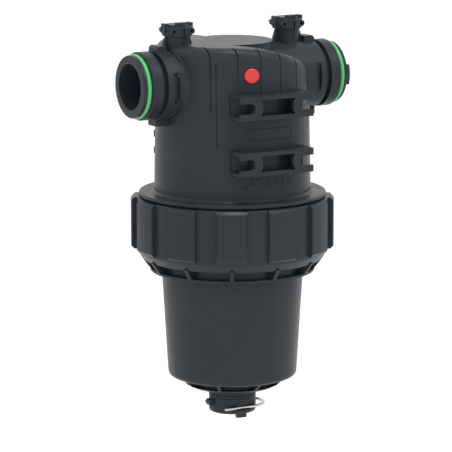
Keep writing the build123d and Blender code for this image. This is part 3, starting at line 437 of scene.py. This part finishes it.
def rubber_ring(name, colour, roughness=0.42):
    """Moulded rubber: fine bloom, shallow pores and a soft sheen."""
    material, tree, surface = blank_material(name)
    skin = place_group(tree, "moulded_skin", moulded_skin_group, Grain=2200.0, Flow=60.0)
    film = place_group(tree, "settled_dust", settled_dust_group, Amount=0.15)
    tone = mixed(tree, scaled(colour, 0.86), scaled(colour, 1.12), skin.outputs["Tone"])
    feed(tree, surface, {
        "Base Color": mixed(tree, tone, BLOOM_COLOUR, film.outputs["Dust"]),
        "Roughness": remap(
            tree, skin.outputs["Tone"], low=0.3, high=0.7, to_low=roughness - 0.06, to_high=roughness + 0.08),
        "Sheen Weight": 0.12,
        "Normal": relief(tree, 0.25, 0.00004, skin.outputs["Height"]),
    })
    return material


def drawn_wire(name, colour):
    """Bright drawn steel wire: fine streaks and small stains."""
    material, tree, surface = blank_material(name)
    place = object_place(tree)
    stains = noise(tree, place, scale=240.0, detail=5.0)
    streaks = noise(tree, place, scale=3800.0, detail=2.0)
    feed(tree, surface, {
        "Base Color": mixed(tree, scaled(colour, 0.72), scaled(colour, 1.1), stains),
        "Metallic": 1.0,
        "Roughness": remap(tree, streaks, low=0.3, high=0.7, to_low=0.12, to_high=0.28),
        "Normal": relief(tree, 0.15, 0.00002, streaks),
    })
    return material


def woven_wire(name, colour):
    """Plain weave of fine steel wire round the cartridge, with painted shade darkening the weave's hollows.
    """
    material, tree, surface = blank_material(name)
    parts = add(tree, "ShaderNodeSeparateXYZ", {0: object_place(tree)}).outputs
    angle = math_of(tree, "ARCTAN2", parts["Y"], parts["X"])
    across = math_of(tree, "SINE", math_of(tree, "MULTIPLY", angle, WIRES_ROUND))
    along_axis = math_of(tree, "SINE", math_of(tree, "MULTIPLY", parts["Z"], WIRES_UP))
    weave = math_of(tree, "MULTIPLY", across, along_axis)
    height = math_of(tree, "ADD", math_of(tree, "MULTIPLY", weave, 0.5), 0.5)
    feed(tree, surface, {
        # Colour darkened to about a third where the weave is low: painted shade in the hollows between the
        # wires
        "Base Color": mixed(tree, scaled(colour, 0.35), scaled(colour, 1.0), height),
        "Metallic": 0.9,
        "Roughness": 0.38,
        "Normal": relief(tree, 0.6, 0.00015, height),
    })
    return material


def paint(node, material):
    """Gives a CAD node its material in every slot."""
    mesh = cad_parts[node].data
    if not mesh.materials:
        mesh.materials.append(material)
    for index in range(len(mesh.materials)):
        mesh.materials[index] = material


def moulded_piece(name, work, body):
    """Piece of the charcoal moulding, from a bmesh, that rides on a body."""
    mesh = bpy.data.meshes.new(name)
    bmesh.ops.recalc_face_normals(work, faces=work.faces)
    work.to_mesh(mesh)
    work.free()
    mesh.materials.append(bpy.data.materials["charcoal_moulding"])
    piece = bpy.data.objects.new(name, mesh)
    bpy.context.collection.objects.link(piece)
    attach(piece, body)


def probe(start, way):
    """Point where a ray meets the head's wall."""
    hit, place, _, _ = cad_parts["head_body"].ray_cast(Vector(start), Vector(way))
    if not hit:
        raise RuntimeError(f"no wall from {start}")
    return place


def skin_between(work, rings):
    """Faces between rings of vertices, each ring joined to the next."""
    for one, two in zip(rings, rings[1:]):
        for k in range(len(one)):
            nxt = (k + 1) % len(one)
            work.faces.new((one[k], one[nxt], two[nxt], two[k]))


def cap_ends(work, rings):
    """Faces over the first and the last ring."""
    work.faces.new(rings[0])
    work.faces.new(list(reversed(rings[-1])))


def raised_line(work, points, half_widths, rise, closed=False):
    """Raised bar along points (x, z) on the head's wall, with bevelled flanks and a sunk foot."""
    bevel = rise * 0.5
    count = len(points)
    rings = []
    for index, (x, z) in enumerate(points):
        before = points[(index - 1) % count] if closed or index else points[0]
        after = points[(index + 1) % count] if closed or index < count - 1 else points[-1]
        way = Vector((after[0] - before[0], after[1] - before[1])).normalized()
        half = half_widths[index] if isinstance(half_widths, list) else half_widths
        profile = [(-half, -LINE_SINK), (-half, rise - bevel), (-half + bevel, rise), (half - bevel, rise),
                   (half, rise - bevel), (half, -LINE_SINK)]
        ring = []
        for offset, height in profile:
            place = probe((x - way.y * offset, -PROBE_START, z + way.x * offset), (0, 1, 0))
            outward = Vector((place.x, place.y, 0)).normalized()
            ring.append(work.verts.new(place + outward * height))
        rings.append(ring)
    if closed:
        skin_between(work, rings + rings[:1])
    else:
        skin_between(work, rings)
        cap_ends(work, rings)


def along(start, end, step=LINE_STEP):
    """Points from one (x, z) to another at even steps."""
    count = max(1, round(math.dist(start, end) / step))
    return [tuple(a + (b - a) * i / count for a, b in zip(start, end)) for i in range(count + 1)]


def rounded_frame(width, height, corner, level):
    """Points of a rectangle with round corners about (0, level)."""
    points = []
    for quarter, (sx, sz) in enumerate(((1, 1), (-1, 1), (-1, -1), (1, -1))):
        cx, cz = sx * (width / 2 - corner), level + sz * (height / 2 - corner)
        for i in range(CORNER_STEPS + 1):
            angle = math.radians(90 * (quarter + i / CORNER_STEPS))
            points.append((cx + corner * math.cos(angle), cz + corner * math.sin(angle)))
    dense = []
    for point, following in zip(points, points[1:] + points[:1]):
        dense.extend(along(point, following, FRAME_STEP)[:-1])
    return dense


def root_bead(work, side, radius, size):
    """Bead along the line where a port meets the head's wall."""
    centres = []
    for index in range(BEAD_STATIONS):
        angle = 2 * math.pi * index / BEAD_STATIONS
        start = (side * PROBE_START, radius * math.cos(angle), radius * math.sin(angle))
        centres.append(probe(start, (-side, 0, 0)))
    rings = []
    for before, centre, after in zip(centres[-1:] + centres, centres, centres[1:] + centres[:1]):
        way = (after - before).normalized()
        out = Vector((0, centre.y, centre.z)).normalized()
        across = way.cross(out).normalized()
        ring = []
        for corner in range(BEAD_CORNERS):
            turn = 2 * math.pi * corner / BEAD_CORNERS
            ring.append(work.verts.new(centre + (out * math.cos(turn) + across * math.sin(turn)) * size))
        rings.append(ring)
    skin_between(work, rings + rings[:1])
    for face in work.faces:
        face.smooth = True


def bevelled_block(work, middle, size):
    """Cube with bevelled edges."""
    made = bmesh.ops.create_cube(work, size=size, matrix=Matrix.Translation(middle))
    edges = {edge for vertex in made["verts"] for edge in vertex.link_edges}
    bmesh.ops.bevel(work, geom=list(edges), offset=size * BEVEL_SHARE, segments=2, affect="EDGES")


def helix_ridge(work, start_angle, low, high, lead, foot, crest, width):
    """Screw ridge between two heights: trapezoid section, running out at both ends."""
    steps = round((high - low) / lead * TURN_STATIONS)
    rings = []
    for i in range(steps + 1):
        angle = start_angle + 2 * math.pi * i / TURN_STATIONS
        z = low + lead * i / TURN_STATIONS
        rise = max(min(1.0, i / RUN_OUT_STATIONS, (steps - i) / RUN_OUT_STATIONS), LEAST_RISE)
        top = foot + (crest - foot) * rise
        ring = []
        for radius, dz in ((foot, -width / 2), (top, -width / 4), (top, width / 4), (foot, width / 2)):
            ring.append(work.verts.new((radius * math.cos(angle), radius * math.sin(angle), z + dz)))
        rings.append(ring)
    skin_between(work, rings)
    cap_ends(work, rings)


class STRAINER_OT_studio(Operator):
    """Build the pale floor, the soft lights, the white surroundings and the camera"""

    bl_idname = "strainer.studio"
    bl_label = "Studio"

    def execute(self, context):
        values = context.scene.strainer_studio
        self.make_floor(values)
        self.make_lights(values)
        self.make_surroundings(values)
        self.make_camera(values)
        context.scene.view_settings.view_transform = "Standard"
        return {"FINISHED"}

    def make_floor(self, values):
        level = CAD_BOX[0][2] - values.floor_drop
        bpy.ops.mesh.primitive_plane_add(size=values.floor_size, location=(0, 0, level))
        floor = bpy.context.object
        floor.name = "studio_floor"
        material, tree, surface = blank_material("pale_floor")
        feed(tree, surface, {
            "Base Color": (*values.floor_colour, 1.0), "Roughness": 0.9, "Specular IOR Level": 0.1})
        glow = add(tree, "ShaderNodeEmission", {
            "Color": (1, 1, 1, 1), "Strength": self.seen(tree, values.floor_glow)})
        both = add(tree, "ShaderNodeAddShader", {0: surface.outputs[0], 1: glow.outputs[0]})
        feed(tree, tree.nodes["Material Output"], {"Surface": both.outputs[0]})
        floor.data.materials.append(material)

    def seen(self, tree, strength):
        """Strength for camera rays, and nothing for the others."""
        path = add(tree, "ShaderNodeLightPath")
        return math_of(tree, "MULTIPLY", path.outputs["Is Camera Ray"], strength)

    def make_lights(self, values):
        for name, place, size, power in SOFTBOXES:
            lamp = bpy.data.lights.new(name, "AREA")
            lamp.shape = "SQUARE"
            lamp.size = size
            lamp.energy = getattr(values, power)
            holder = bpy.data.objects.new(name, lamp)
            holder.location = place
            aim = Vector((0, 0, values.camera_level)) - Vector(place)
            holder.rotation_euler = aim.to_track_quat("-Z", "Y").to_euler()
            bpy.context.collection.objects.link(holder)

    def make_surroundings(self, values):
        world = bpy.data.worlds.new("white_room")
        bpy.context.scene.world = world
        world.use_nodes = True
        tree = world.node_tree
        extra = self.seen(tree, 1.0 - values.sky_level)
        feed(tree, tree.nodes["Background"], {
            "Color": (1, 1, 1, 1), "Strength": math_of(tree, "ADD", extra, values.sky_level)})

    def make_camera(self, values):
        view = bpy.data.cameras.new("photo_camera")
        view.sensor_width = SENSOR_WIDTH
        view.lens = values.lens
        view.shift_x = AXIS_SHIFT_PIXELS / PHOTO_PIXELS
        view.clip_end = CLIP_END
        camera = bpy.data.objects.new("photo_camera", view)
        flat = math.cos(values.camera_rise)
        away = Vector((-math.sin(values.camera_turn) * flat, -math.cos(values.camera_turn) * flat,
                       math.sin(values.camera_rise)))
        camera.location = Vector((0, 0, values.camera_level)) + away * values.camera_reach
        camera.rotation_euler = (-away).to_track_quat("-Z", "Y").to_euler()
        bpy.context.collection.objects.link(camera)
        bpy.context.scene.camera = camera


class STRAINER_OT_mouldings(Operator):
    """Finish the head, nut, bowl and plugs in charcoal moulded plastic"""

    bl_idname = "strainer.mouldings"
    bl_label = "Charcoal mouldings"

    def execute(self, context):
        look = context.scene.strainer_finish
        skin = moulded_plastic(
            "charcoal_moulding", tuple(look.charcoal), look.charcoal_gloss, look.grain, look.edge_softness,
            shine=look.charcoal_shine)
        for node in MOULDED_NODES:
            paint(node, skin)
        return {"FINISHED"}


class STRAINER_OT_rings(Operator):
    """Finish the green port rings and the hidden black seals"""

    bl_idname = "strainer.rings"
    bl_label = "Rings and seals"

    def execute(self, context):
        look = context.scene.strainer_finish
        green = rubber_ring("green_ring_rubber", tuple(look.ring_green))
        for node in ("inlet_o_ring", "outlet_o_ring"):
            paint(node, green)
        black = rubber_ring("black_seal_rubber", tuple(look.seal_black), roughness=0.5)
        for node in SEAL_NODES:
            paint(node, black)
        return {"FINISHED"}


class STRAINER_OT_indicator(Operator):
    """Finish the red mesh indicator and the cartridge in its colour"""

    bl_idname = "strainer.indicator"
    bl_label = "Mesh indicator and cartridge"

    def execute(self, context):
        look = context.scene.strainer_finish
        red = moulded_plastic(
            "red_moulding", tuple(look.button_red), roughness=0.32, grain=0.0011, softness=0.0004,
            depth=0.00003, dust=0.08)
        for node in ("mesh_indicator",) + CAGE_NODES:
            paint(node, red)
        paint("cartridge_mesh", woven_wire("woven_steel", tuple(look.wire_steel)))
        return {"FINISHED"}


class STRAINER_OT_forks(Operator):
    """Finish the three wire forks in bright drawn steel"""

    bl_idname = "strainer.forks"
    bl_label = "Wire forks"

    def execute(self, context):
        bright = drawn_wire("bright_wire", tuple(context.scene.strainer_finish.wire_steel))
        for node in FORK_NODES:
            paint(node, bright)
        return {"FINISHED"}


class STRAINER_OT_marks(Operator):
    """Raise the blank panel and the flow marks on the front of the head"""

    bl_idname = "strainer.marks"
    bl_label = "Moulded marks"

    def execute(self, context):
        marks = context.scene.strainer_marks
        self.make_panel(marks)
        self.make_flow_marks(marks)
        return {"FINISHED"}

    def make_panel(self, marks):
        work = bmesh.new()
        loop = rounded_frame(marks.panel_width, marks.panel_height, marks.panel_corner, marks.panel_level)
        raised_line(work, loop, marks.line_width / 2, marks.rise, closed=True)
        moulded_piece("blank_panel_rim", work, "head")

    def make_flow_marks(self, marks):
        """Arrow with a slim head, and a row of chevrons that point the way of the flow."""
        work = bmesh.new()
        half = marks.line_width / 2
        level = marks.arrow_level
        tail, tip = ((x, level + z) for x, z in (ARROW_TAIL, ARROW_TIP))
        line = along(tail, tip)
        widths = []
        for point in line:
            left = math.dist(point, tip)
            flare = ARROW_HEAD_HALF * left / ARROW_HEAD_LENGTH + ARROW_POINT_HALF
            widths.append(flare if left < ARROW_HEAD_LENGTH else half)
        raised_line(work, line, widths, marks.rise)
        for index in range(marks.chevrons):
            x = FIRST_CHEVRON + index * CHEVRON_STEP
            for side in (-1, 1):
                arm = along((x, level + side * CHEVRON_HALF), (x + CHEVRON_REACH, level))
                raised_line(work, arm, half, marks.rise)
        moulded_piece("flow_marks", work, "head")


class STRAINER_OT_collars(Operator):
    """Add the beads and pocket posts of the ports and the kerbs of the brackets"""

    bl_idname = "strainer.collars"
    bl_label = "Root beads, posts and kerbs"

    def execute(self, context):
        fine = context.scene.strainer_collars
        for side, port in ((-1, "inlet"), (1, "outlet")):
            work = bmesh.new()
            root_bead(work, side, fine.bead_radius, fine.bead_size)
            moulded_piece(f"{port}_root_bead", work, "head")
        self.make_posts(fine)
        self.make_kerbs(fine)
        return {"FINISHED"}

    def make_posts(self, fine):
        """Two small posts in each side pocket of the inlet's collar."""
        work = bmesh.new()
        for face in (-1, 1):
            for end in (-1, 1):
                out = face * (fine.post_reach - fine.post_size / 2)
                bevelled_block(work, (-fine.post_offset, out, end * fine.post_height), fine.post_size)
        moulded_piece("inlet_pocket_posts", work, "head")

    def make_kerbs(self, fine):
        """Low kerb across each open end of the front brackets, mirrored to the rear."""
        work = bmesh.new()
        size = fine.kerb_size
        for node in ("front_upper_bracket", "front_lower_bracket"):
            low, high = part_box(node)
            for x in (low[0] + size / 2, high[0] - size / 2):
                raised_line(work, along((x, low[2] + size), (x, high[2] - size)), size / 2, size)
        everything = work.verts[:] + work.edges[:] + work.faces[:]
        bmesh.ops.mirror(work, geom=everything, axis="Y", merge_dist=0.0)
        moulded_piece("bracket_kerbs", work, "head")


class STRAINER_OT_threads(Operator):
    """Cut the matching screw threads of the head's skirt and the ring nut"""

    bl_idname = "strainer.threads"
    bl_label = "Screw threads"

    def execute(self, context):
        cut = context.scene.strainer_threads
        nut_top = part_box("ring_nut")[1][2]
        half_pitch = cut.lead / cut.starts / 2
        self.make_thread("skirt_thread", "head", cut, cut.skirt_radius - THREAD_SINK,
                         cut.skirt_radius + cut.ridge_height, nut_top - SKIRT_THREAD_FOOT,
                         nut_top - SKIRT_THREAD_HEAD)
        self.make_thread("nut_thread", "nut_group", cut, cut.nut_radius + THREAD_SINK,
                         cut.nut_radius - cut.ridge_height, nut_top - NUT_THREAD_FOOT + half_pitch,
                         nut_top - NUT_THREAD_HEAD)
        return {"FINISHED"}

    def make_thread(self, name, body, cut, foot, crest, low, high):
        work = bmesh.new()
        for start in range(cut.starts):
            angle = 2 * math.pi * start / cut.starts
            helix_ridge(work, angle, low, high, cut.lead, foot, crest, cut.ridge_width)
        moulded_piece(name, work, body)


class STRAINER_PT_panel(Panel):
    """Sidebar panel with the strainer's settings and steps"""

    bl_label = "Inline Strainer"
    bl_idname = "STRAINER_PT_panel"
    bl_space_type = "VIEW_3D"
    bl_region_type = "UI"
    bl_category = "Strainer"

    def draw(self, context):
        for group in SETTINGS:
            box = self.layout.box()
            values = getattr(context.scene, group)
            for name in values.bl_rna.properties.keys():
                if name not in ("rna_type", "name"):
                    box.prop(values, name)
        for operator in OPERATORS:
            self.layout.operator(operator.bl_idname)


SETTINGS = {
    "strainer_finish": FinishSettings,
    "strainer_marks": MarkSettings,
    "strainer_collars": CollarSettings,
    "strainer_threads": ThreadSettings,
    "strainer_studio": StudioSettings,
}
OPERATORS = (
    STRAINER_OT_studio, STRAINER_OT_mouldings, STRAINER_OT_rings, STRAINER_OT_indicator, STRAINER_OT_forks,
    STRAINER_OT_marks, STRAINER_OT_collars, STRAINER_OT_threads,
)


def register():
    for name, settings in SETTINGS.items():
        bpy.utils.register_class(settings)
        setattr(bpy.types.Scene, name, PointerProperty(type=settings))
    for operator in OPERATORS:
        bpy.utils.register_class(operator)
    bpy.utils.register_class(STRAINER_PT_panel)


def unregister():
    bpy.utils.unregister_class(STRAINER_PT_panel)
    for operator in reversed(OPERATORS):
        bpy.utils.unregister_class(operator)
    for name, settings in SETTINGS.items():
        delattr(bpy.types.Scene, name)
        bpy.utils.unregister_class(settings)


def main():
    register()
    bpy.ops.strainer.studio()
    bpy.ops.strainer.mouldings()
    bpy.ops.strainer.rings()
    bpy.ops.strainer.indicator()
    bpy.ops.strainer.forks()
    bpy.ops.strainer.marks()
    bpy.ops.strainer.collars()
    bpy.ops.strainer.threads()


if __name__ == "__main__":
    main()
